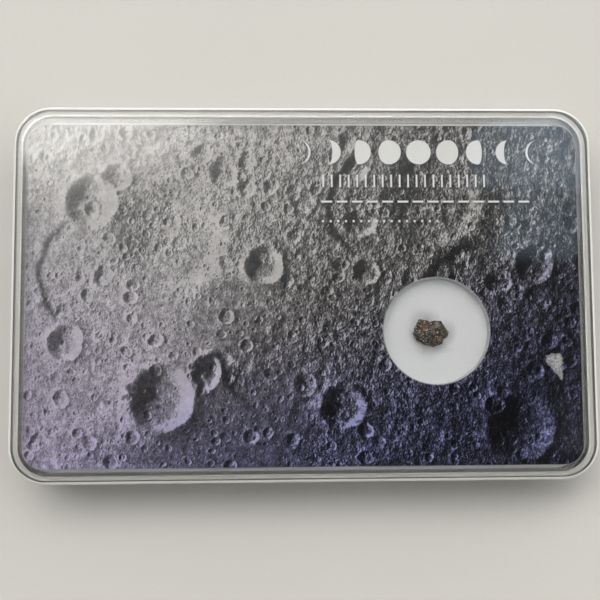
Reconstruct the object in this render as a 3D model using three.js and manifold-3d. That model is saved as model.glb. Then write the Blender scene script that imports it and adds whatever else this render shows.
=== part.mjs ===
// A lunar meteorite fragment in a clear display case. The stone lies on a white foam pad, and shows
// through a round window cut in a printed board. Millimetres, +Z up, +X along the case's long side.
// The origin is the centre of the case's underside.
import * as THREE from "three";
import { mergeVertices } from "three/addons/utils/BufferGeometryUtils.js";
import Module from "manifold-3d";

const wasm = await Module();
wasm.setup();

// Display case: a tray and a lid that meet at a seam and overlap on a thin lip
const CASE_WIDTH = 88.9;
const CASE_DEPTH = 57.2;
const CASE_HEIGHT = 8.5;
const CASE_CORNER = 5.6;
const CASE_WALL = 1.1;
const CASE_FLOOR = 1.1;
const LID_PLATE = 1.1;
const EDGE_ROUND = 0.45;
const SEAM_HEIGHT = 4.8;
const LIP_HEIGHT = 1.8;
const LIP_WALL = 0.5;
const LAP_GAP = 0.1;

// Foam pad and printed board
const FOAM_THICKNESS = 2.6;
const FOAM_MARGIN = 0.15;
const BOARD_WIDTH = 86.4;
const BOARD_DEPTH = 53.4;
const BOARD_THICKNESS = 1.4;
const BOARD_CORNER = 3.2;
const WINDOW_DIAMETER = 16.6;
const WINDOW_CENTRE = new THREE.Vector2(20.5, -5.85);

// Meteorite: its outline seen from above, from its own centre, anticlockwise from the right-hand tip
const STONE_CENTRE = new THREE.Vector2(19.5, -6.2);
const STONE_THICKNESS = 2.9;
const STONE_WAIST = 0.42; // height of the widest level, as a share of the thickness
const STONE_OUTLINE = [
  [2.71, 0.0],
  [2.08, 1.2],
  [1.68, 1.86],
  [0.74, 1.88],
  [-0.14, 1.54],
  [-0.94, 2.1],
  [-1.68, 2.1],
  [-2.18, 1.58],
  [-2.75, -0.1],
  [-2.22, -0.84],
  [-1.03, -1.68],
  [0.28, -2.22],
  [1.5, -1.8],
  [2.55, -0.85],
];
const STONE_DETAIL = 12;
const STONE_BLOCKINESS = 2.7; // 2 is an ellipsoid, and more fills out its shoulders
const STONE_LUMPS = [
  { size: 1.5, height: 0.22 },
  { size: 0.75, height: 0.14 },
];
const STONE_RIDGES = [
  { size: 1.1, height: 0.16 },
  { size: 0.42, height: 0.1 },
];
// Broken faces: outward normal and distance from the stone's middle
const STONE_FACETS = [
  { normal: [0.35, 0.25, 0.9], distance: 1.45 },
  { normal: [-0.62, 0.2, 0.76], distance: 1.95 },
  { normal: [0.15, -0.72, 0.68], distance: 1.8 },
  { normal: [0.8, -0.35, 0.49], distance: 2.2 },
  { normal: [-0.5, -0.6, 0.62], distance: 1.9 },
  { normal: [0.1, 0.85, 0.52], distance: 1.9 },
  { normal: [0.7, 0.5, -0.51], distance: 2.1 },
  { normal: [-0.75, -0.3, -0.59], distance: 2.3 },
];
const FACET_FLATNESS = 0.85;
// The cleft between the two lobes of the far side
const CLEFT_START = new THREE.Vector2(-0.1, 2.0);
const CLEFT_END = new THREE.Vector2(0.45, 0.35);
const CLEFT_DEPTH = 0.55;
const CLEFT_WIDTH = 0.4;

const CORNER_STEPS = 12;
const EDGE_STEPS = 4;
const WINDOW_STEPS = 72;
const MERGE_DISTANCE = 1e-4;
const OVERCUT = 1;

const LID_BOTTOM = CASE_HEIGHT - LID_PLATE;
const FOAM_TOP = CASE_FLOOR + FOAM_THICKNESS;
const BOARD_TOP = FOAM_TOP + BOARD_THICKNESS;

const clearPlastic = { color: 0xe6ebea, roughness: 0.08, metalness: 0, transparent: true, opacity: 0.35 };
const materials = {
  base: new THREE.MeshStandardMaterial(clearPlastic),
  lid: new THREE.MeshStandardMaterial(clearPlastic),
  foam: new THREE.MeshStandardMaterial({ color: 0xd6d9dd, roughness: 0.95, metalness: 0 }),
  board: new THREE.MeshStandardMaterial({ color: 0x6f6e76, roughness: 0.55, metalness: 0 }),
  stone: new THREE.MeshStandardMaterial({ color: 0x3b352f, roughness: 0.9, metalness: 0 }),
};

// A three.js geometry as a closed solid that can be joined and cut.
function solid(geometry) {
  geometry.deleteAttribute("normal");
  geometry.deleteAttribute("uv");
  const merged = mergeVertices(geometry, MERGE_DISTANCE);
  const vertProperties = merged.attributes.position.array;
  const triVerts = new Uint32Array(merged.index.array);
  return new wasm.Manifold(new wasm.Mesh({ numProp: 3, vertProperties, triVerts }));
}

function named(name, shape, material) {
  const { vertProperties, triVerts } = shape.getMesh();
  const geometry = new THREE.BufferGeometry();
  geometry.setAttribute("position", new THREE.BufferAttribute(vertProperties, 3));
  geometry.setIndex(new THREE.BufferAttribute(triVerts, 1));
  geometry.computeVertexNormals();
  const mesh = new THREE.Mesh(geometry, material);
  mesh.name = name;
  return mesh;
}

function roundedRectangle(width, depth, radius) {
  const x = width / 2 - radius;
  const y = depth / 2 - radius;
  const quarter = Math.PI / 2;
  return new THREE.Shape()
    .absarc(x, y, radius, 0, quarter)
    .absarc(-x, y, radius, quarter, 2 * quarter)
    .absarc(-x, -y, radius, 2 * quarter, 3 * quarter)
    .absarc(x, -y, radius, 3 * quarter, 4 * quarter);
}

// A rounded rectangle from one height to another, its top and bottom edges rounded by `edge`.
function slab({ width, depth, radius, bottom, top, edge = 0 }) {
  const geometry = new THREE.ExtrudeGeometry(roundedRectangle(width, depth, radius), {
    depth: top - bottom - 2 * edge,
    curveSegments: CORNER_STEPS,
    bevelEnabled: edge > 0,
    bevelThickness: edge,
    bevelSize: edge,
    bevelOffset: -edge,
    bevelSegments: EDGE_STEPS,
  });
  geometry.translate(0, 0, bottom + edge);
  return solid(geometry);
}

// The case's outline drawn in by `inset` on every side, from one height to another.
function caseSlab(inset, bottom, top, edge = 0) {
  return slab({
    width: CASE_WIDTH - 2 * inset,
    depth: CASE_DEPTH - 2 * inset,
    radius: CASE_CORNER - inset,
    bottom,
    top,
    edge,
  });
}

// The tray: floor and walls up to the seam, and a thinner lip that goes up inside the lid.
function caseBase() {
  const lipTop = SEAM_HEIGHT + LIP_HEIGHT;
  const outside = caseSlab(0, 0, CASE_HEIGHT, EDGE_ROUND);
  const belowSeam = caseSlab(-OVERCUT, -OVERCUT, SEAM_HEIGHT);
  const lip = caseSlab(CASE_WALL - LIP_WALL, CASE_FLOOR, lipTop);
  const cavity = caseSlab(CASE_WALL, CASE_FLOOR, CASE_HEIGHT + OVERCUT);
  return outside.intersect(belowSeam).add(lip).subtract(cavity);
}

// The lid: a plate with a skirt down to the seam, rebated inside to take the tray's lip.
function caseLid() {
  const rebateTop = SEAM_HEIGHT + LIP_HEIGHT + LAP_GAP;
  const outside = caseSlab(0, 0, CASE_HEIGHT, EDGE_ROUND);
  const aboveSeam = caseSlab(-OVERCUT, SEAM_HEIGHT, CASE_HEIGHT + OVERCUT);
  const rebate = caseSlab(CASE_WALL - LIP_WALL - LAP_GAP, 0, rebateTop);
  const cavity = caseSlab(CASE_WALL, 0, LID_BOTTOM);
  return outside.intersect(aboveSeam).subtract(rebate).subtract(cavity);
}

function foamPad() {
  return caseSlab(CASE_WALL + FOAM_MARGIN, CASE_FLOOR, FOAM_TOP);
}

function printedBoard() {
  const board = slab({
    width: BOARD_WIDTH,
    depth: BOARD_DEPTH,
    radius: BOARD_CORNER,
    bottom: FOAM_TOP,
    top: BOARD_TOP,
  });
  const window = new THREE.CylinderGeometry(
    WINDOW_DIAMETER / 2,
    WINDOW_DIAMETER / 2,
    BOARD_THICKNESS + 2 * OVERCUT,
    WINDOW_STEPS,
  );
  window.rotateX(Math.PI / 2);
  window.translate(WINDOW_CENTRE.x, WINDOW_CENTRE.y, FOAM_TOP + BOARD_THICKNESS / 2);
  return board.subtract(solid(window));
}

// A fixed pseudo-random number from 0 to 1 for each point of a whole-number lattice.
function latticeValue(x, y, z) {
  const wave = Math.sin(x * 127.1 + y * 311.7 + z * 74.7) * 43758.5453;
  return wave - Math.floor(wave);
}

// Smooth noise from -1 to 1: the lattice values around the point, blended.
function noise(point) {
  const base = point.clone().floor();
  const part = point.clone().sub(base);
  const ease = (t) => t * t * (3 - 2 * t);
  const weight = [ease(part.x), ease(part.y), ease(part.z)];
  let sum = 0;
  for (let corner = 0; corner < 8; corner++) {
    const step = [corner & 1, (corner >> 1) & 1, corner >> 2];
    const share = step.reduce((product, s, i) => product * (s ? weight[i] : 1 - weight[i]), 1);
    sum += share * latticeValue(base.x + step[0], base.y + step[1], base.z + step[2]);
  }
  return 2 * sum - 1;
}

// How far the outline is from the stone's centre in a direction, along the straight side it meets.
function outlineReach(heading) {
  const ray = new THREE.Vector2(Math.cos(heading), Math.sin(heading));
  for (let i = 0; i < STONE_OUTLINE.length; i++) {
    const a = new THREE.Vector2(...STONE_OUTLINE[i]);
    const b = new THREE.Vector2(...STONE_OUTLINE[(i + 1) % STONE_OUTLINE.length]);
    if (ray.cross(a) <= 0 && ray.cross(b) > 0 && ray.dot(a) + ray.dot(b) > 0) {
      const side = b.clone().sub(a);
      return a.cross(side) / ray.cross(side);
    }
  }
  return STONE_OUTLINE[0][0];
}

// 1 along the line of the cleft, falling to 0 away from it.
function cleftShare(point) {
  const line = CLEFT_END.clone().sub(CLEFT_START);
  const across = new THREE.Vector2(point.x, point.y).sub(CLEFT_START);
  const along = THREE.MathUtils.clamp(across.dot(line) / line.lengthSq(), 0, 1);
  const distance = across.distanceTo(line.multiplyScalar(along));
  return Math.exp(-((distance / CLEFT_WIDTH) ** 2));
}

// Where a ray from the stone's middle meets its surface.
function stoneSurface(direction) {
  const reach = outlineReach(Math.atan2(direction.y, direction.x));
  const share = direction.z > 0 ? 1 - STONE_WAIST : STONE_WAIST;
  const sideways = Math.hypot(direction.x, direction.y) / reach;
  const upwards = Math.abs(direction.z) / (STONE_THICKNESS * share);
  const radius = (sideways ** STONE_BLOCKINESS + upwards ** STONE_BLOCKINESS) ** (-1 / STONE_BLOCKINESS);
  const point = direction.clone().multiplyScalar(radius);
  for (const { normal, distance } of STONE_FACETS) {
    const outward = new THREE.Vector3(...normal).normalize();
    const excess = Math.max(0, point.dot(outward) - distance);
    point.addScaledVector(outward, -excess * FACET_FLATNESS);
  }
  if (direction.z > 0) point.z -= CLEFT_DEPTH * cleftShare(point) * direction.z;
  let relief = 0;
  for (const { size, height } of STONE_LUMPS) relief += height * noise(point.clone().divideScalar(size));
  for (const { size, height } of STONE_RIDGES) {
    relief += height * (0.5 - 2 * Math.abs(noise(point.clone().divideScalar(size))));
  }
  return point.addScaledVector(direction, relief);
}

function meteorite() {
  const geometry = new THREE.IcosahedronGeometry(1, STONE_DETAIL);
  const position = geometry.attributes.position;
  for (let i = 0; i < position.count; i++) {
    const direction = new THREE.Vector3().fromBufferAttribute(position, i).normalize();
    position.setXYZ(i, ...stoneSurface(direction));
  }
  geometry.computeBoundingBox();
  geometry.translate(STONE_CENTRE.x, STONE_CENTRE.y, FOAM_TOP - geometry.boundingBox.min.z);
  return solid(geometry);
}

const display = new THREE.Group();
display.add(
  named("case_base", caseBase(), materials.base),
  named("case_lid", caseLid(), materials.lid),
  named("foam_pad", foamPad(), materials.foam),
  named("printed_board", printedBoard(), materials.board),
  named("meteorite", meteorite(), materials.stone),
);

export default display;
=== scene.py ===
import math

import bmesh
import bpy
import numpy as np
from mathutils import Matrix, Vector


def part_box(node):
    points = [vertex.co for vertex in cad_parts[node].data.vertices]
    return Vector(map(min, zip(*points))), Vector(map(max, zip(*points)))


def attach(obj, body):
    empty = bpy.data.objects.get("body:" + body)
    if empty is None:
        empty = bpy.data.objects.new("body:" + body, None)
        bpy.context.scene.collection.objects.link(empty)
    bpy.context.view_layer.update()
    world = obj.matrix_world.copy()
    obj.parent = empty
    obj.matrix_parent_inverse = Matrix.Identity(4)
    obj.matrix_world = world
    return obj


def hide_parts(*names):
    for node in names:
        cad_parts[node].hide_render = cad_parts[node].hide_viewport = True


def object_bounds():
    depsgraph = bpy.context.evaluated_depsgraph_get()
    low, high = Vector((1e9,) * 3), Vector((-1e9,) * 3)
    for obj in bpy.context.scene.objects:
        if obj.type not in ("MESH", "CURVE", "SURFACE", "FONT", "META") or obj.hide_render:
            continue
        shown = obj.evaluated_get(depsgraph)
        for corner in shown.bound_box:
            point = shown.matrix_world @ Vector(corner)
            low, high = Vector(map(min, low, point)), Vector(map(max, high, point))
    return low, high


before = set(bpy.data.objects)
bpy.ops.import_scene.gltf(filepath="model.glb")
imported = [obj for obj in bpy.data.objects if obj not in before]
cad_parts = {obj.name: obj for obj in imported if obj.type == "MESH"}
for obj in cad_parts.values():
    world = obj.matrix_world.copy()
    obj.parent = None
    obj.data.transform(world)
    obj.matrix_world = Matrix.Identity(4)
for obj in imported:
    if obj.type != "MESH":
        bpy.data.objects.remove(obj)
cad_low, cad_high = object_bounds()

MM = 0.001

# Display case
CASE_WIDTH = (cad_high.x - cad_low.x) / MM
CASE_DEPTH = (cad_high.y - cad_low.y) / MM
CASE_HEIGHT = (cad_high.z - cad_low.z) / MM
CASE_CORNER = 5.6
CASE_WALL = 1.1
CASE_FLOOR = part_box("foam_pad")[0].z / MM
LID_PLATE = 1.1
EDGE_ROUND = 0.45
SEAM_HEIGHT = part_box("case_lid")[0].z / MM
LIP_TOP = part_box("case_base")[1].z / MM
LIP_WALL = 0.5
LAP_GAP = 0.1
SOFT_EDGE = 0.07
LID_FILLET = 0.06
CORNER_STEPS = 40
ROUND_STEPS = 6
SOFT_STEPS = 3
# A face counts as upright while its normal rises or falls by less than this
UPRIGHT_TILT = 0.3
# The case's plastic: the share of light that passes, then its two tints
CLEAR_PLASTIC = (1.0, (0.995, 0.995, 0.985), (0.985, 0.985, 0.97))
LID_EDGE_PLASTIC = (0.5, (0.99, 0.98, 0.94), (0.98, 0.965, 0.92))
BASE_EDGE_PLASTIC = (0.6, (0.99, 0.98, 0.94), (0.98, 0.965, 0.92))

# Foam pad, printed board and its window
FOAM_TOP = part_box("foam_pad")[1].z / MM
FOAM_MARGIN = 0.15
FOAM_ROUND = 0.15
FOAM_CORNER_STEPS = 12
FOAM_RINGS = 60
FOAM_RINGS_PAST_WINDOW = 0.6
# The dent round the stone: its depth, its flat middle's radius, how far it fades, and its narrowing in y
FOAM_DENT_DEPTH = 0.06
FOAM_DENT_MIDDLE = 1.5
FOAM_DENT_FADE = 1.35
FOAM_DENT_NARROWING = 1.15
BOARD_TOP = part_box("printed_board")[1].z / MM
BOARD_WIDTH = 86.4
BOARD_DEPTH = 53.4
BOARD_CORNER = 3.2
BOARD_EDGE = 0.08
BOARD_CORNER_STEPS = 16
WINDOW_RADIUS = 8.25
WINDOW_CENTRE = (20.5, -5.85)
WINDOW_STEPS = 144
WINDOW_BURR = 0.05
WINDOW_BEVEL = 0.1

# Meteorite, from the same outline and facets as its solid
STONE_CENTRE = (19.5, -6.2)
STONE_THICKNESS = 2.9
STONE_WAIST = 0.42
STONE_OUTLINE = [
    (2.71, 0.0),
    (2.08, 1.2),
    (1.68, 1.86),
    (0.74, 1.88),
    (-0.14, 1.54),
    (-0.94, 2.1),
    (-1.68, 2.1),
    (-2.18, 1.58),
    (-2.75, -0.1),
    (-2.22, -0.84),
    (-1.03, -1.68),
    (0.28, -2.22),
    (1.5, -1.8),
    (2.55, -0.85),
]
STONE_BLOCKINESS = 2.7
STONE_LUMPS = [(1.5, 0.22), (0.75, 0.14)]
STONE_RIDGES = [(1.1, 0.16), (0.42, 0.1)]
STONE_FINE = [(0.3, 0.05), (0.16, 0.035), (0.08, 0.018)]
STONE_FACETS = [
    ((0.35, 0.25, 0.9), 1.45),
    ((-0.62, 0.2, 0.76), 1.95),
    ((0.15, -0.72, 0.68), 1.8),
    ((0.8, -0.35, 0.49), 2.2),
    ((-0.5, -0.6, 0.62), 1.9),
    ((0.1, 0.85, 0.52), 1.9),
    ((0.7, 0.5, -0.51), 2.1),
    ((-0.75, -0.3, -0.59), 2.3),
]
FACET_FLATNESS = 0.85
CLEFT_START = (-0.1, 2.0)
CLEFT_END = (0.45, 0.35)
CLEFT_DEPTH = 0.55
CLEFT_WIDTH = 0.4
STONE_SUBDIVISIONS = 7
# Painted shade on the foam round the stone, grey patches standing in for its shadow: place from the stone's
# centre, reach and strength
FOAM_SHADE_PATCHES = [
    (-1.3, 2.3, 2.3, 0.3),
    (0.4, 2.4, 1.8, 0.2),
    (2.9, 0.6, 1.9, 0.26),
    (-0.6, -2.6, 1.2, 0.06),
]
# Clasts that stand out on the stone's upper side: place, radius and colour
STONE_CLASTS = [
    (-1.1, 1.1, 0.62, (0.24, 0.105, 0.08)),
    (1.0, 1.3, 0.6, (0.42, 0.41, 0.34)),
    (0.35, 0.9, 0.42, (0.36, 0.33, 0.26)),
    (1.4, -1.0, 0.5, (0.4, 0.25, 0.16)),
    (-1.55, 0.0, 0.2, (0.5, 0.48, 0.42)),
    (0.3, 0.1, 0.2, (0.5, 0.46, 0.38)),
    (-0.3, -1.6, 0.2, (0.4, 0.38, 0.32)),
]
# The rest of the stone's colours, from its matrix to its white grains, and the sizes of its grains
STONE_MATRIX = [(0.012, 0.009, 0.008), (0.1, 0.082, 0.068)]
STONE_RUST = (0.12, 0.062, 0.036)
STONE_PALE_GRAIN = (0.25, 0.22, 0.18)
STONE_WHITE_GRAIN = (0.72, 0.69, 0.64)
STONE_FRAGMENT_SIZE = 0.5
STONE_GRAIN_SIZE = 0.13
STONE_WARP = 0.55
STONE_RELIEF = 0.05

# Foam's finish: from its open cells, painted darker as shade, to its faces, and the grey of the painted
# shade round the stone
FOAM_PIT_SHADE = (0.78, 0.8, 0.84)
FOAM_FACES = [(0.86, 0.87, 0.9), (0.92, 0.93, 0.96)]
FOAM_SHADE_GREY = (0.2, 0.2, 0.22)
FOAM_CELL = 0.16
FOAM_RELIEF = 0.03

# Clear plastic's surface: flow waves, the angle and width of its hairline scratches, and frosted edges
FLOW_WAVE_SIZE = 14.0
FLOW_WAVE_HEIGHT = 0.006
SCRATCHES = [(0.35, 0.9), (-0.7, 0.7)]
SCRATCH_DEPTH = 0.0008
EDGE_FROSTING = 0.22

# Printed moonscape: where its sun is, and a crater's slope from its centre to twice its radius
SUN = (-0.95, 0.31)
HIGHLAND_GRAIN = 0.45
CRATER_SLOPE = [
    (0, 0),
    (0.17, 0.04),
    (0.3, 0.3),
    (0.4, 1.0),
    (0.46, 0.75),
    (0.5, 0.0),
    (0.54, -0.3),
    (0.65, -0.16),
    (0.85, -0.03),
    (1.0, 0.0),
]
# Scattered craters: cell size, smallest and largest radius as shares of it, share present, strength
CRATER_FIELDS = [
    (7.5, 0.12, 0.38, 0.6, 0.9),
    (3.6, 0.12, 0.38, 0.65, 1.0),
    (1.7, 0.14, 0.4, 0.7, 0.85),
    (0.8, 0.18, 0.42, 0.65, 0.6),
]
# Large craters placed one by one: centre, radius and depth
CRATERS = [
    (-33.0, 14.5, 4.3, 0.8),
    (-22.5, -16.0, 5.2, 0.9),
    (-15.2, -12.2, 2.6, 0.9),
    (-6.5, 4.5, 3.1, 1.0),
    (6.0, -17.5, 3.6, 0.85),
    (9.5, 3.5, 2.2, 1.0),
    (33.5, -20.5, 5.4, 0.75),
    (36.0, 4.5, 3.3, 0.8),
    (-36.5, -7.5, 2.8, 0.7),
    (-12.5, 19.0, 2.4, 0.7),
    (-21.0, 8.0, 9.5, 0.22),
    (20.0, 15.0, 8.5, 0.3),
]
# Long curved scarps: the centre and radius of the arc, its width and its depth
SCARPS = [
    (-1.0, -7.0, 12.5, 0.55, 0.8),
    (-31.0, 3.0, 10.0, 0.4, 0.7),
    (13.0, 13.5, 9.0, 0.5, 0.8),
    (30.0, -4.0, 12.0, 0.6, 0.7),
]
# The print's tone from its light upper left to its dark lower right
PRINT_TONE = [
    (-1.4, 0.42),
    (-1.1, 0.4),
    (-0.7, 0.38),
    (-0.4, 0.26),
    (-0.15, 0.155),
    (0.3, 0.088),
    (0.8, 0.06),
    (1.15, 0.03),
    (1.5, 0.018),
]
# The print's tints: grey, violet at the lower left and blue at the lower right
PRINT_GREY = (1.0, 0.965, 0.97)
PRINT_VIOLET = (0.98, 0.87, 1.2)
PRINT_BLUE = (0.72, 0.75, 1.45)
# The print's brightest tone, and the limit to how far slopes lighten or darken it
PRINT_BRIGHTEST = 0.6
SLOPE_LIMIT = 2.4
# The board's bare core, and the depth of its fibres and its chip
BOARD_CORE = [(0.4, 0.4, 0.42), (0.66, 0.66, 0.67)]
BOARD_RELIEF = 0.03

# The white ornament at the print's upper right, and the soft shadow under it
MARK_WHITE = (0.9, 0.9, 0.9)
MARK_BLUR = 0.07
SHADOW_BLUR = 0.42
SHADOW_SHIFT = 0.22
PHASE_COUNT = 9
PHASE_RADIUS = 1.95
PHASE_PITCH = 4.75
PHASES_LEFT = -3.3
PHASES_Y = 22.4
# Rows of marks: left and right ends, height, then each mark's length, pitch and thickness
MARK_ROWS = [
    (2.3, 29.1, 17.8, 0.28, 1.34, 2.0),
    (2.3, 35.8, 14.5, 1.7, 2.4, 0.3),
    (2.3, 21.8, 11.4, 0.32, 1.2, 0.32),
]
# The chip in the print, clockwise
CHIP = [
    (37.5, -9.8),
    (38.4, -9.4),
    (39.8, -9.4),
    (40.3, -10.2),
    (40.2, -13.7),
    (39.9, -13.7),
    (37.5, -10.8),
]

# Table top
FLOOR_SIZE = 900.0
FLOOR_HEIGHT = -0.02
FLOOR_TINTS = [(0.475, 0.463, 0.433), (0.515, 0.502, 0.469)]
FLOOR_RELIEF = 0.02

# The sky's brightness overhead, from low in front to high behind and to the left. Below about 35
# degrees it is held to its low limit, and light from the sides and low behind is added.
SKY_PEAK = 6.3
SKY_OVERHEAD = [
    (-0.9, 0.15),
    (-0.25, 0.2),
    (0.0, 0.03),
    (0.15, 0.05),
    (0.3, 0.16),
    (0.43, 0.55),
    (0.54, 0.85),
    (0.59, 1.6),
    (0.64, SKY_PEAK),
    (0.8, SKY_PEAK),
    (0.88, 3.0),
]
SKY_LOW_LIMIT = 0.5
SKY_SIDES = 1.5
SKY_LEFT = 0.5
SKY_RIGHT = 1.5
SKY_DIM_TINT = (0.95, 0.97, 1.0)
SKY_BRIGHT_TINT = (1.0, 0.985, 0.955)
COOL_WINDOW = (0.9, 1.2, 1.5)

# Camera: nearly straight above the case, a little to its left and front
CAMERA_PLACE = Vector((-5.1, -11.3, 137.1)) * MM
CAMERA_TARGET = Vector((-0.89, -1.25, 8.5)) * MM
CAMERA_ROLL = math.radians(-0.38)
CAMERA_FOCAL_PIXELS = 850
IMAGE_WIDTH = 600
SENSOR_WIDTH = 36


def arc(centre, radius, start, end, steps=ROUND_STEPS):
    """Points on a circle in the plane of inset and height, angles in degrees."""
    angles = np.radians(np.linspace(start, end, steps + 1))
    return [(centre[0] + radius * math.cos(a), centre[1] + radius * math.sin(a)) for a in angles]


def rounded_rectangle(width, depth, radius, steps=CORNER_STEPS):
    """Points round a rounded rectangle, anticlockwise from the right-hand side's upper end."""
    points = []
    for quarter, (sx, sy) in enumerate(((1, 1), (-1, 1), (-1, -1), (1, -1))):
        for a in np.linspace(quarter, quarter + 1, steps + 1) * math.pi / 2:
            x = sx * (width / 2 - radius) + radius * math.cos(a)
            y = sy * (depth / 2 - radius) + radius * math.sin(a)
            points.append((x, y))
    return points


def swept_case_part(name, section):
    """A solid whose section, a list of (inset, height), runs round the case, closed by two flat caps.

    Its caps and upright walls take its first material, and its rounded edges and ledges the second.
    """
    work = bmesh.new()
    outlines = [
        (rounded_rectangle(CASE_WIDTH - 2 * inset, CASE_DEPTH - 2 * inset, CASE_CORNER - inset), height)
        for inset, height in section
    ]
    rings = add_loops(work, outlines)
    work.faces.new(rings[0])
    work.faces.new(rings[-1])
    part = finished(work, name, sharp_degrees=25)
    for face in part.data.polygons:
        is_cap = len(face.vertices) > 4
        is_upright = abs(face.normal.z) < UPRIGHT_TILT
        face.material_index = 0 if is_cap or is_upright else 1
    return part


def case_lid():
    """The lid, from its top face out over the edge, down the skirt, and back up inside."""
    s = SOFT_EDGE
    skirt_inside = CASE_WALL - LIP_WALL - LAP_GAP
    rebate_top = LIP_TOP + LAP_GAP
    underside = CASE_HEIGHT - LID_PLATE
    profile = [
        *arc((EDGE_ROUND, CASE_HEIGHT - EDGE_ROUND), EDGE_ROUND, 90, 180),
        *arc((s, SEAM_HEIGHT + s), s, 180, 270, SOFT_STEPS),
        *arc((skirt_inside - s, SEAM_HEIGHT + s), s, 270, 360, SOFT_STEPS),
        (skirt_inside, rebate_top),
        *arc((CASE_WALL - s, rebate_top + s), s, 270, 360, SOFT_STEPS),
        *arc((CASE_WALL + LID_FILLET, underside - LID_FILLET), LID_FILLET, 180, 90),
    ]
    return swept_case_part("display_case_lid", profile)


def case_base():
    """The tray, from its underside round the edge, over the seam's shoulder and the lip, to its floor."""
    s = SOFT_EDGE
    lip_outside = CASE_WALL - LIP_WALL
    fillet = FOAM_ROUND
    profile = [
        *arc((EDGE_ROUND, EDGE_ROUND), EDGE_ROUND, 270, 180),
        *arc((s, SEAM_HEIGHT - s), s, 180, 90, SOFT_STEPS),
        (lip_outside, SEAM_HEIGHT),
        *arc((lip_outside + s, LIP_TOP - s), s, 180, 90, SOFT_STEPS),
        *arc((CASE_WALL - s, LIP_TOP - s), s, 90, 0, SOFT_STEPS),
        *arc((CASE_WALL + fillet, CASE_FLOOR + fillet), fillet, 180, 270, SOFT_STEPS),
    ]
    return swept_case_part("display_case_base", profile)


def flat_fill(work, outer, inner=()):
    """Fills the flat region between two closed loops of vertices, or inside one."""
    edges = []
    for ring in filter(None, (outer, inner)):
        for i, vertex in enumerate(ring):
            pair = (vertex, ring[(i + 1) % len(ring)])
            edges.append(work.edges.get(pair) or work.edges.new(pair))
    bmesh.ops.triangle_fill(work, use_beauty=True, edges=edges)


def circle(centre, radius):
    angles = np.linspace(0, 2 * math.pi, WINDOW_STEPS, endpoint=False)
    return [(centre[0] + radius * math.cos(a), centre[1] + radius * math.sin(a)) for a in angles]


def add_loops(work, loops):
    """Adds closed loops of (points, height) and the bands between them, and returns the vertex rings."""
    rings = [[work.verts.new((x, y, height)) for x, y in points] for points, height in loops]
    for lower, upper in zip(rings, rings[1:]):
        for i in range(len(lower)):
            j = (i + 1) % len(lower)
            work.faces.new((lower[i], lower[j], upper[j], upper[i]))
    return rings


def finished(work, name, sharp_degrees=30):
    """Turns a work mesh in millimetres into an object in metres, its faces pointing out."""
    bmesh.ops.recalc_face_normals(work, faces=work.faces)
    bmesh.ops.scale(work, vec=(MM, MM, MM), verts=work.verts)
    mesh = bpy.data.meshes.new(name)
    work.to_mesh(mesh)
    work.free()
    mesh.shade_smooth()
    mesh.set_sharp_from_angle(angle=math.radians(sharp_degrees))
    obj = bpy.data.objects.new(name, mesh)
    bpy.context.scene.collection.objects.link(obj)
    return obj


def foam_height(x, y):
    """The foam's top: nearly flat, and pressed down round the stone."""
    distance = math.hypot(x - STONE_CENTRE[0], (y - STONE_CENTRE[1]) * FOAM_DENT_NARROWING)
    away = max(0.0, distance - FOAM_DENT_MIDDLE)
    return FOAM_TOP - FOAM_DENT_DEPTH * math.exp(-((away / FOAM_DENT_FADE) ** 2))


def foam_pad():
    """The foam sheet: a soft-edged slab, with a fine round grid where it shows through the window."""
    inset, r = CASE_WALL + FOAM_MARGIN, FOAM_ROUND
    section = [
        *arc((r, CASE_FLOOR + r), r, 270, 180, SOFT_STEPS),
        *arc((r, FOAM_TOP - r), r, 180, 90, SOFT_STEPS),
    ]
    sides = []
    for extra, height in section:
        grown = inset + extra
        width, depth = CASE_WIDTH - 2 * grown, CASE_DEPTH - 2 * grown
        outline = rounded_rectangle(width, depth, CASE_CORNER - grown, FOAM_CORNER_STEPS)
        sides.append((outline, height))
    work = bmesh.new()
    rings = add_loops(work, sides)
    flat_fill(work, rings[0])
    reach = WINDOW_RADIUS + FOAM_RINGS_PAST_WINDOW
    radii = np.linspace(reach, reach / FOAM_RINGS, FOAM_RINGS)
    well = add_loops(work, [(circle(WINDOW_CENTRE, radius), FOAM_TOP) for radius in radii])
    flat_fill(work, rings[-1], well[0])
    work.faces.new(well[-1])
    for ring in well[1:]:
        for vertex in ring:
            vertex.co.z = foam_height(vertex.co.x, vertex.co.y)
    return finished(work, "foam_sheet", sharp_degrees=60)


def printed_board():
    """The board: its window's rim is bevelled down to the white core, with a slight burr round it."""
    low = FOAM_TOP
    outline, inner = (
        rounded_rectangle(
            BOARD_WIDTH - 2 * cut, BOARD_DEPTH - 2 * cut, BOARD_CORNER - cut, BOARD_CORNER_STEPS
        )
        for cut in (0, BOARD_EDGE)
    )
    work = bmesh.new()
    edge = add_loops(work, [(outline, low), (outline, BOARD_TOP - BOARD_EDGE), (inner, BOARD_TOP)])
    window = add_loops(
        work,
        [
            (circle(WINDOW_CENTRE, WINDOW_RADIUS + 2 * WINDOW_BEVEL), BOARD_TOP),
            (circle(WINDOW_CENTRE, WINDOW_RADIUS + WINDOW_BEVEL), BOARD_TOP + WINDOW_BURR),
            (circle(WINDOW_CENTRE, WINDOW_RADIUS), BOARD_TOP - WINDOW_BEVEL),
            (circle(WINDOW_CENTRE, WINDOW_RADIUS), low),
        ],
    )
    flat_fill(work, edge[-1], window[0])
    flat_fill(work, edge[0], window[-1])
    return finished(work, "moonscape_board")


def lattice_value(cell):
    """A fixed pseudo-random number from 0 to 1 for each point of a whole-number lattice."""
    wave = np.sin(cell @ np.array((127.1, 311.7, 74.7))) * 43758.5453
    return wave - np.floor(wave)


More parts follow.
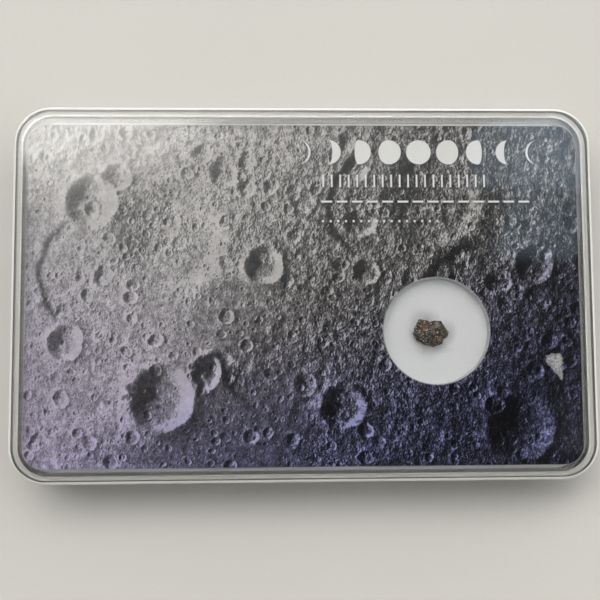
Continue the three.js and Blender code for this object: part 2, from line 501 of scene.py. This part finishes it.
def noise(points):
    """Smooth noise from -1 to 1: the lattice values around each point, blended."""
    base = np.floor(points)
    weight = (points - base) ** 2 * (3 - 2 * (points - base))
    total = np.zeros(len(points))
    for corner in range(8):
        step = np.array((corner & 1, (corner >> 1) & 1, corner >> 2))
        share = np.prod(np.where(step, weight, 1 - weight), axis=1)
        total += share * lattice_value(base + step)
    return 2 * total - 1


def outline_reach(headings):
    """How far the stone's outline is from its centre in each direction."""
    corners = np.array(STONE_OUTLINE)
    ends = np.roll(corners, -1, axis=0)
    rays = np.stack([np.cos(headings), np.sin(headings)], axis=1)
    reach = np.full(len(headings), corners[0, 0])

    def cross(a, b):
        return a[..., 0] * b[..., 1] - a[..., 1] * b[..., 0]

    for a, b in zip(corners, ends):
        met = (cross(rays, a) <= 0) & (cross(rays, b) > 0) & (rays @ a + rays @ b > 0)
        reach[met] = cross(a, b - a) / cross(rays[met], b - a)
    return reach


def stone_surface(directions):
    """Where rays from the stone's middle meet its surface, with finer relief than the solid's."""
    heading = np.arctan2(directions[:, 1], directions[:, 0])
    up = directions[:, 2]
    share = np.where(up > 0, 1 - STONE_WAIST, STONE_WAIST)
    sideways = np.hypot(directions[:, 0], directions[:, 1]) / outline_reach(heading)
    upwards = np.abs(up) / (STONE_THICKNESS * share)
    power = STONE_BLOCKINESS
    points = directions * ((sideways**power + upwards**power) ** (-1 / power))[:, None]
    for normal, distance in STONE_FACETS:
        outward = np.array(normal) / np.linalg.norm(normal)
        excess = np.maximum(0, points @ outward - distance)
        points -= (excess * FACET_FLATNESS)[:, None] * outward
    start, line = np.array(CLEFT_START), np.subtract(CLEFT_END, CLEFT_START)
    across = points[:, :2] - start
    along = np.clip(across @ line / (line @ line), 0, 1)
    distance = np.linalg.norm(across - along[:, None] * line, axis=1)
    points[:, 2] -= CLEFT_DEPTH * np.exp(-((distance / CLEFT_WIDTH) ** 2)) * np.maximum(up, 0)
    relief = sum(height * noise(points / size) for size, height in STONE_LUMPS)
    for size, height in STONE_RIDGES + STONE_FINE:
        relief = relief + height * (0.5 - 2 * np.abs(noise(points / size)))
    return points + directions * relief[:, None]


def meteorite():
    work = bmesh.new()
    bmesh.ops.create_icosphere(work, subdivisions=STONE_SUBDIVISIONS, radius=1)
    directions = np.array([vertex.co.normalized() for vertex in work.verts])
    surface = stone_surface(directions)
    surface[:, :2] += STONE_CENTRE
    surface[:, 2] += FOAM_TOP - FOAM_DENT_DEPTH - surface[:, 2].min()
    for vertex, place in zip(work.verts, surface):
        vertex.co = place
    return finished(work, "meteorite_fragment", sharp_degrees=180)


class Signal:
    """A node's output. Sums and products of signals add the math nodes that work them out."""

    def __init__(self, tree, socket):
        self.tree = tree
        self.socket = socket

    def math(self, operation, *others):
        return node(self.tree, "ShaderNodeMath", (self, *others), operation=operation)

    def vector(self, operation, *others, output=0):
        return node(self.tree, "ShaderNodeVectorMath", (self, *others), output, operation=operation)

    def scaled(self, factor):
        """The vector or colour times a number."""
        return self.vector("SCALE", (0, 0, 0), (0, 0, 0), factor)

    def length(self):
        return self.vector("LENGTH", output=1)

    def dot(self, other):
        return self.vector("DOT_PRODUCT", other, output=1)

    def sibling(self, key):
        """Another output of the same node."""
        return Signal(self.tree, self.socket.node.outputs[key])

    def __add__(self, other):
        return self.math("ADD", other)

    def __sub__(self, other):
        return self.math("SUBTRACT", other)

    def __rsub__(self, other):
        return (self * -1) + other

    def __mul__(self, other):
        return self.math("MULTIPLY", other)

    def __truediv__(self, other):
        return self.math("DIVIDE", other)

    __radd__ = __add__
    __rmul__ = __mul__

    def above(self, low, high):
        """0 below low, 1 above high, and smooth between them; low may be the greater."""
        inputs = {"Value": self, "From Min": low, "From Max": high}
        return node(self.tree, "ShaderNodeMapRange", inputs, interpolation_type="SMOOTHSTEP")

    def spread(self, low, high, first, last):
        """Maps low to high onto first to last, in a straight line, clamped."""
        inputs = {"Value": self, "From Min": low, "From Max": high, "To Min": first, "To Max": last}
        return node(self.tree, "ShaderNodeMapRange", inputs)

    def curve(self, points):
        """The signal through a smooth curve of given points."""
        made = self.tree.nodes.new("ShaderNodeFloatCurve")
        self.tree.links.new(self.socket, made.inputs["Value"])
        mapping = made.mapping
        mapping.use_clip = False
        mapping.extend = "HORIZONTAL"
        line = mapping.curves[0]
        while len(line.points) < len(points):
            line.points.new(0.5, 0.5)
        for point, place in zip(line.points, points):
            point.location = place
        mapping.update()
        return Signal(self.tree, made.outputs[0])


def node(tree, kind, inputs=(), output=0, **settings):
    """Adds a node, sets or joins its inputs, given in order or by name, and returns one output."""
    made = tree.nodes.new(kind)
    for name, value in settings.items():
        setattr(made, name, value)
    for key, value in inputs.items() if isinstance(inputs, dict) else enumerate(inputs):
        if isinstance(value, Signal):
            tree.links.new(value.socket, made.inputs[key])
        else:
            made.inputs[key].default_value = value
    return Signal(tree, made.outputs[output])


def components(vector):
    """A vector's x, y and z."""
    x = node(vector.tree, "ShaderNodeSeparateXYZ", (vector,))
    return x, x.sibling(1), x.sibling(2)


def channels(colour):
    """A colour's red, green and blue."""
    red = node(colour.tree, "ShaderNodeSeparateColor", (colour,))
    return red, red.sibling(1), red.sibling(2)


def mixed(share, first, second):
    """One colour to the other as share goes from 0 to 1."""
    tree = share.tree
    made = tree.nodes.new("ShaderNodeMix")
    made.data_type = "RGBA"
    for key, value in ((0, share), (6, first), (7, second)):
        if isinstance(value, Signal):
            tree.links.new(value.socket, made.inputs[key])
        else:
            made.inputs[key].default_value = (*value, 1)
    return Signal(tree, made.outputs[2])


def material(name, **settings):
    """A new material with its shader's constant inputs set, its tree, and its place in millimetres."""
    made = bpy.data.materials.new(name)
    made.use_nodes = True
    tree = made.node_tree
    shader = tree.nodes["Principled BSDF"]
    for key, value in settings.items():
        shader.inputs[key.replace("_", " ").title().replace("Ior", "IOR")].default_value = value
    place = node(tree, "ShaderNodeTexCoord", output=3)
    return made, tree, shader, place.scaled(1 / MM)


def noise_at(place, size, detail=2.0, roughness=0.5, output=0):
    """Blender's noise, its largest lumps about `size` across: 0 is its value and 1 its colour."""
    inputs = {"Vector": place, "Scale": 1 / size, "Detail": detail, "Roughness": roughness}
    return node(place.tree, "ShaderNodeTexNoise", inputs, output, noise_dimensions="3D")


def wander(place, size, reach, detail=2.0, roughness=0.5):
    """A smoothly changing offset of up to about half of `reach` along each axis."""
    offset = noise_at(place, size, detail, roughness, output=1).vector("SUBTRACT", (0.5, 0.5, 0.5))
    return offset.scaled(reach)


def bumped(shader, height, distance):
    """Joins a height, in units of `distance`, to the shader's normal."""
    inputs = {"Height": height, "Distance": distance, "Strength": 1.0}
    normal = node(height.tree, "ShaderNodeBump", inputs)
    height.tree.links.new(normal.socket, shader.inputs["Normal"])


def clear_plastic(name, clearness, faint, full):
    """Clear moulded plastic: hairline scratches, faint flow waves, and a frosting of wear on its edges."""
    made, tree, shader, place = material(name, roughness=0.03, ior=1.5, transmission_weight=clearness)
    heights = noise_at(place, FLOW_WAVE_SIZE, 0.0) * FLOW_WAVE_HEIGHT
    for angle, width in SCRATCHES:
        turned = node(tree, "ShaderNodeMapping", {0: place, 2: (0, 0, angle), 3: (0.03, 1 / width, 0.03)})
        hairs = noise_at(turned, 1.0, 1.0, 0.6).above(0.7, 0.73)
        heights = heights - hairs * SCRATCH_DEPTH
    bumped(shader, heights, MM)
    x, y = components(place)[:2]
    past_side = x.math("ABSOLUTE") - BOARD_WIDTH / 2
    past_end = y.math("ABSOLUTE") - BOARD_DEPTH / 2
    frosting = past_side.math("MAXIMUM", past_end).above(-0.1, 0.3) * EDGE_FROSTING
    dulling = noise_at(place, 5.0, 2.0, 0.7).spread(0.4, 0.7, 0.015, 0.035) + frosting
    tree.links.new(dulling.socket, shader.inputs["Roughness"])
    colour = mixed(noise_at(place, 20.0, 0.0), full, faint)
    tree.links.new(colour.socket, shader.inputs["Base Color"])
    return made


def dust_on_foam(place):
    """Painted shade on the foam: soft round grey patches about the stone, standing in for its shadow."""
    stone_shade = None
    for x, y, reach, depth in FOAM_SHADE_PATCHES:
        away = place.vector("SUBTRACT", (STONE_CENTRE[0] + x, STONE_CENTRE[1] + y, 0))
        shade_spot = away.vector("MULTIPLY", (1, 1, 0)).length().above(reach, reach * 0.2) * depth
        stone_shade = shade_spot if stone_shade is None else stone_shade + shade_spot
    return stone_shade


def foam_material():
    """Fine white foam: small open cells painted darker as shade, faintly mottled, with painted shade round
    the stone.
    """
    made, tree, shader, place = material("white_foam", roughness=0.95, specular_ior_level=0.2)
    inputs = {"Vector": place, "Scale": 1 / FOAM_CELL}
    cells = node(tree, "ShaderNodeTexVoronoi", inputs, feature="F1", voronoi_dimensions="3D")
    mottle = noise_at(place, 1.2, 4.0, 0.65)
    height = cells.spread(0.1, 0.7, 0.0, 1.0) * 0.6 + mottle * 0.5
    bumped(shader, height, FOAM_RELIEF * MM)
    faces = mixed(mottle, *FOAM_FACES)
    # Painted shade: the pits of the open cells are coloured darker than the faces
    colour = mixed(cells.above(0.15, 0.4), FOAM_PIT_SHADE, faces)
    # Painted shade round the stone: grey patches where its shadow falls on the foam
    dust = dust_on_foam(place) * mottle.spread(0.3, 0.7, 0.6, 1.2)
    colour = mixed(dust, colour, FOAM_SHADE_GREY)
    tree.links.new(colour.socket, shader.inputs["Base Color"])
    return made


def stone_material():
    """Dark breccia: grains of many sizes, with rust, a red clast, and pale and tan clasts."""
    made, tree, shader, place = material("breccia", roughness=0.85, specular_ior_level=0.35)
    bent = place.vector("ADD", wander(place, 0.5, STONE_WARP, 3.0, 0.6))
    inputs = {"Vector": bent, "Scale": 1 / STONE_FRAGMENT_SIZE}
    fragments = node(tree, "ShaderNodeTexVoronoi", inputs, output=1)
    inputs = {"Vector": bent, "Scale": 1 / STONE_GRAIN_SIZE}
    grains = node(tree, "ShaderNodeTexVoronoi", inputs, output=1)
    fragment = channels(fragments)[0]
    grain = channels(grains)[0]
    mottle = noise_at(place, 0.12, 4.0, 0.7)
    colour = mixed(mottle.above(0.38, 0.66), *STONE_MATRIX)
    colour = mixed(fragment.above(0.7, 0.76) * 0.75, colour, STONE_RUST)
    colour = mixed(grain.above(0.76, 0.82) * 0.85, colour, STONE_PALE_GRAIN)
    colour = mixed(grain.above(0.92, 0.94), colour, STONE_WHITE_GRAIN)
    for x, y, reach, tone in STONE_CLASTS:
        centre = (STONE_CENTRE[0] + x, STONE_CENTRE[1] + y, FOAM_TOP + STONE_THICKNESS)
        away = bent.vector("SUBTRACT", centre).vector("MULTIPLY", (1, 1, 0.45)).length()
        patch = away.above(reach * 1.2, reach * 0.6) * mottle.spread(0.34, 0.6, 0.2, 1.0)
        colour = mixed(patch, colour, tone)
    tree.links.new(colour.socket, shader.inputs["Base Color"])
    height = noise_at(place, 0.09, 5.0, 0.75) + grains * 0.3
    bumped(shader, height, STONE_RELIEF * MM)
    return made


def sunward_fall(place, height_of):
    """How steeply a height falls away from the printed sun: positive where a slope faces it."""
    step = 0.12
    ahead = place.vector("ADD", (SUN[0] * step, SUN[1] * step, 0))
    return (height_of(place) - height_of(ahead)) * (1 / step)


def crater_slope(away, radius):
    """The lit slope of a crater from the vector to its centre: shaded floor, bright wall, rim and apron."""
    distance = away.length()
    share = distance / radius
    facing = away.dot((*SUN, 0)) / distance.math("MAXIMUM", 1e-4)
    shadow = facing.math("MAXIMUM", 0) * (1 - share).math("MAXIMUM", 0) * 0.55
    return ((share + shadow) * 0.5).curve(CRATER_SLOPE) * facing * -1


def crater_field(place, cell, smallest, largest, present):
    """Craters scattered one to a cell, with radii from smallest to largest as shares of the cell."""
    flat = place.vector("MULTIPLY", (1 / cell, 1 / cell, 0)).vector("ADD", (cell * 3.7, cell * 1.9, 0))
    inputs = {"Vector": flat, "Scale": 1.0}
    made = node(place.tree, "ShaderNodeTexVoronoi", inputs, 1, feature="F1", voronoi_dimensions="2D")
    centre = made.sibling("Position")
    width, depth, presence = channels(made)
    kept = presence.above(1 - present, 1 - present + 0.05)
    radius = (width * width).spread(0, 1, smallest, largest)
    slope = crater_slope(flat.vector("SUBTRACT", centre), radius)
    return slope * kept * depth.spread(0, 1, 0.35, 1.0)


def inside_polygon(place, corners):
    """How far inside a convex outline, given clockwise, a place is; negative outside."""
    nearest = None
    for (ax, ay), (bx, by) in zip(corners, corners[1:] + corners[:1]):
        length = math.hypot(bx - ax, by - ay)
        inward = ((by - ay) / length, (ax - bx) / length, 0)
        from_edge = place.vector("SUBTRACT", (ax, ay, 0)).dot(inward)
        nearest = from_edge if nearest is None else nearest.math("MINIMUM", from_edge)
    return nearest


def phase_discs(x, y, blur):
    """A row of discs lit as the moon is from new to full and back, 1 on their lit parts."""
    along = (x - PHASES_LEFT) / PHASE_PITCH
    index = along.math("FLOOR")
    local = (along - index - 0.5) * PHASE_PITCH
    rise = y - PHASES_Y
    chord = (PHASE_RADIUS**2 - rise * rise).math("MAXIMUM", 0).math("SQRT")
    turn = (index + 1) * (1 / (PHASE_COUNT + 1))
    waxing = turn.above(0.5001, 0.5) * 2 - 1
    limb = PHASE_RADIUS - (rise * rise + local * local).math("SQRT")
    lit = local * waxing - chord * (turn * 2 * math.pi).math("COSINE")
    row = index.above(-1, 0) * index.above(PHASE_COUNT, PHASE_COUNT - 1)
    return limb.math("MINIMUM", lit).above(-blur, blur) * row


def dash_row(x, y, left, right, height, length, pitch, thickness, blur):
    """A row of upright or level bars between left and right, 1 on the bars."""
    along = ((x - left) / pitch).math("FRACT") - 0.5
    within = (length / 2) - (along * pitch).math("ABSOLUTE")
    level = (thickness / 2) - (y - height).math("ABSOLUTE")
    ends = (x - left).math("MINIMUM", right - x)
    return within.math("MINIMUM", level).math("MINIMUM", ends).above(-blur, blur)


def white_ornament(place, blur):
    """The white ornament: a row of moon phases over three rows of plain marks."""
    x, y = components(place)[:2]
    marks = phase_discs(x, y, blur)
    for row in MARK_ROWS:
        marks = marks.math("MAXIMUM", dash_row(x, y, *row, blur))
    return marks


def crater_slopes(place, rugged):
    """The lit slopes of the scattered craters, weaker on the smooth plains, and of the large ones."""
    slope = None
    for cell, smallest, largest, present, strength in CRATER_FIELDS:
        field = crater_field(place, cell, smallest, largest, present) * strength
        slope = field if slope is None else slope + field
    slope = slope * rugged.spread(0, 1, 0.8, 1.0)
    for x, y, radius, depth in CRATERS:
        away = place.vector("SUBTRACT", (x, y, 0)).vector("MULTIPLY", (1, 1, 0))
        slope = slope + crater_slope(away, radius) * depth
    return slope


def scarp(place, x, y, radius, width):
    """A curved cliff: 1 along the arc of its circle that faces the printed sun."""
    away = place.vector("SUBTRACT", (x, y, 0)).vector("MULTIPLY", (1, 1, 0))
    offset = (away.length() - radius) / width
    facing = away.dot((SUN[0] / radius, SUN[1] / radius, 0)).above(0.2, 0.9)
    return (offset * offset * -1).math("EXPONENT") * facing


def hills(place):
    """The height of the highlands' rough ground, stretched along its grain."""
    inputs = {0: place, 2: (0, 0, HIGHLAND_GRAIN), 3: (1.0, 0.75, 1.0)}
    return noise_at(node(place.tree, "ShaderNodeMapping", inputs), 2.4, 5.0, 0.66) * 1.5


def print_tint(x, y):
    """The print's tint, from grey to violet at the lower left and blue at the lower right."""
    violet = (y * -0.02 - x * 0.008).above(-0.1, 0.9)
    blue = (x * 0.014 - y * 0.03).above(0.0, 1.0)
    return mixed(blue, mixed(violet, PRINT_GREY, PRINT_VIOLET), PRINT_BLUE)


def moonscape(place):
    """The printed face's colour: a cratered plain and highlands lit from the left."""
    x, y = components(place)[:2]
    bent = place.vector("ADD", wander(place, 8.0, 2.4))
    bent = bent.vector("ADD", wander(place, 1.3, 0.4, 3.0, 0.6))

    # How rugged the ground is: smooth plains to the left and low middle, highlands to the right
    drift = noise_at(place, 14.0, 2.0)
    rugged = (x * 0.012 + y * 0.008 + drift * 1.6 - 0.62).above(-0.25, 0.35)
    slope = crater_slopes(bent, rugged)
    for cx, cy, radius, width, depth in SCARPS:
        slope = slope - scarp(bent, cx, cy, radius, width) * drift.above(0.35, 0.55) * depth
    slope = slope + sunward_fall(place, hills) * rugged.spread(0, 1, 0.2, 0.65)

    # Tone: light and soft at the upper left, dark and harsh at the lower right
    across = x * 0.03 - y * 0.022 + (drift - 0.5) * 0.6
    tone = across.curve(PRINT_TONE)
    contrast = across.spread(-1.4, 1.0, 2.5, 6.0)
    rough = noise_at(place, 0.8, 4.0, 0.72).spread(0.2, 0.8, -0.55, 0.55)
    rough = rough * rugged.spread(0, 1, 0.6, 1.0)
    soft = (slope * contrast / SLOPE_LIMIT).math("TANH") * SLOPE_LIMIT
    shade = (soft + rough * (contrast * 0.65 + 0.7)).math("EXPONENT")
    patches = noise_at(place, 3.0, 3.0, 0.65).spread(0.3, 0.7, 0.8, 1.2)
    grain = noise_at(place, 0.2, 1.0, 0.7).spread(0.25, 0.75, 0.86, 1.14)
    value = (tone * shade).math("MINIMUM", PRINT_BRIGHTEST) * patches * grain

    under = place.vector("ADD", (-SHADOW_SHIFT, SHADOW_SHIFT, 0))
    shadow = white_ornament(under, SHADOW_BLUR).spread(0, 1, 1.0, 0.3)
    colour = print_tint(x, y).scaled(value).scaled(shadow)
    return mixed(white_ornament(place, MARK_BLUR), colour, MARK_WHITE)


def board_material():
    """White-cored board, printed on its upper face, with one chip where the print has come away."""
    made, tree, shader, place = material("printed_board", roughness=0.6, specular_ior_level=0.1)
    fibre = noise_at(place, 0.35, 3.0, 0.7)
    core = mixed(fibre.above(0.3, 0.7), *BOARD_CORE)

    torn = place.vector("ADD", wander(place, 0.9, 0.9, 3.0, 0.75))
    chip = inside_polygon(torn, CHIP)
    chipped = chip.above(0.0, 0.12) * chip.above(0.0, 0.5).spread(0, 1, 0.55, 1.0)
    flecks = noise_at(place, 0.4, 2.0, 0.75).above(0.46, 0.5)
    bare = chipped * flecks.spread(0, 1, 0.55, 1.0)
    colour = mixed(bare, moonscape(place), core)

    normal = node(tree, "ShaderNodeNewGeometry", (), output=3)
    height = components(place)[2]
    upward = components(normal)[2]
    face = upward.above(0.86, 0.93) * height.above(BOARD_TOP - 0.2, BOARD_TOP - 0.1)
    colour = mixed(face, core, colour)
    tree.links.new(colour.socket, shader.inputs["Base Color"])
    relief = chipped * -1 + noise_at(place, 0.15, 1.0, 0.6) * 0.3
    bumped(shader, relief, BOARD_RELIEF * MM)
    return made


def floor_material():
    """Pale matt table top with a faint grain."""
    made, tree, shader, place = material("table_top", roughness=0.6, specular_ior_level=0.3)
    cloud = noise_at(place, 90.0, 3.0)
    colour = mixed(cloud, *FLOOR_TINTS)
    tree.links.new(colour.socket, shader.inputs["Base Color"])
    bumped(shader, noise_at(place, 0.6, 4.0, 0.6), FLOOR_RELIEF * MM)
    return made


def add_floor():
    work = bmesh.new()
    bmesh.ops.create_grid(work, x_segments=1, y_segments=1, size=FLOOR_SIZE / 2)
    bmesh.ops.translate(work, vec=(0, 0, FLOOR_HEIGHT), verts=work.verts)
    floor = finished(work, "table")
    floor.data.materials.append(floor_material())


def studio_sky():
    """Soft light: bright behind and to the left, dim in front, and a cool window at the back right."""
    world = bpy.data.worlds.new("studio")
    world.use_nodes = True
    tree = world.node_tree
    direction = node(tree, "ShaderNodeTexCoord", output=0)
    right, back, up = components(direction)
    overhead = (back * 0.85 - right * up * 0.45 + up * 0.25).curve(SKY_OVERHEAD)
    overhead = overhead.math("MINIMUM", up.spread(0.55, 0.72, SKY_LOW_LIMIT, SKY_PEAK))
    sides = up.above(0.5, 0.15) * back.above(-0.45, 0.25) * SKY_SIDES
    over_right = right / up.math("MAXIMUM", 0.05)
    flanks = over_right.above(-0.45, -0.75) * SKY_LEFT + over_right.above(0.45, 0.75) * SKY_RIGHT
    sides = sides + flanks * back.above(-0.5, -0.1)
    over_back = back / up.math("MAXIMUM", 0.05)
    window = over_right.above(0.29, 0.34) * over_right.above(0.8, 0.5)
    window = window * over_back.above(0.215, 0.25) * over_back.above(0.7, 0.45)
    strength = overhead + sides
    light = mixed(strength.above(0.0, 1.5), SKY_DIM_TINT, SKY_BRIGHT_TINT).scaled(strength)
    cool = node(tree, "ShaderNodeCombineXYZ", COOL_WINDOW).scaled(window)
    total = light.vector("ADD", cool)
    tree.links.new(total.socket, tree.nodes["Background"].inputs["Color"])
    bpy.context.scene.world = world


def add_camera():
    data = bpy.data.cameras.new("camera")
    data.sensor_width = SENSOR_WIDTH
    data.lens = SENSOR_WIDTH * CAMERA_FOCAL_PIXELS / IMAGE_WIDTH
    camera = bpy.data.objects.new("camera", data)
    ahead = (CAMERA_TARGET - CAMERA_PLACE).normalized()
    right = ahead.cross(Vector((0, 1, 0))).normalized()
    upright = Matrix((right, right.cross(ahead), -ahead)).transposed()
    turned = upright @ Matrix.Rotation(CAMERA_ROLL, 3, "Z")
    camera.matrix_world = Matrix.Translation(CAMERA_PLACE) @ turned.to_4x4()
    bpy.context.scene.collection.objects.link(camera)
    bpy.context.scene.camera = camera


def add_piece(piece, materials, replaced):
    """A piece of the object: its materials, the body it rides on, and the solid it stands for."""
    for each in materials:
        piece.data.materials.append(each)
    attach(piece, "root")
    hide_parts(replaced)


add_camera()
add_floor()
studio_sky()
base_walls = clear_plastic("clear_base", *CLEAR_PLASTIC)
base_edges = clear_plastic("clear_base_edges", *BASE_EDGE_PLASTIC)
add_piece(case_base(), [base_walls, base_edges], "case_base")
lid_walls = clear_plastic("clear_lid", *CLEAR_PLASTIC)
lid_edges = clear_plastic("clear_lid_edges", *LID_EDGE_PLASTIC)
add_piece(case_lid(), [lid_walls, lid_edges], "case_lid")
foam = foam_pad()
add_piece(foam, [foam_material()], "foam_pad")
add_piece(printed_board(), [board_material()], "printed_board")
add_piece(meteorite(), [stone_material()], "meteorite")

bpy.context.scene.view_settings.view_transform = "Standard"
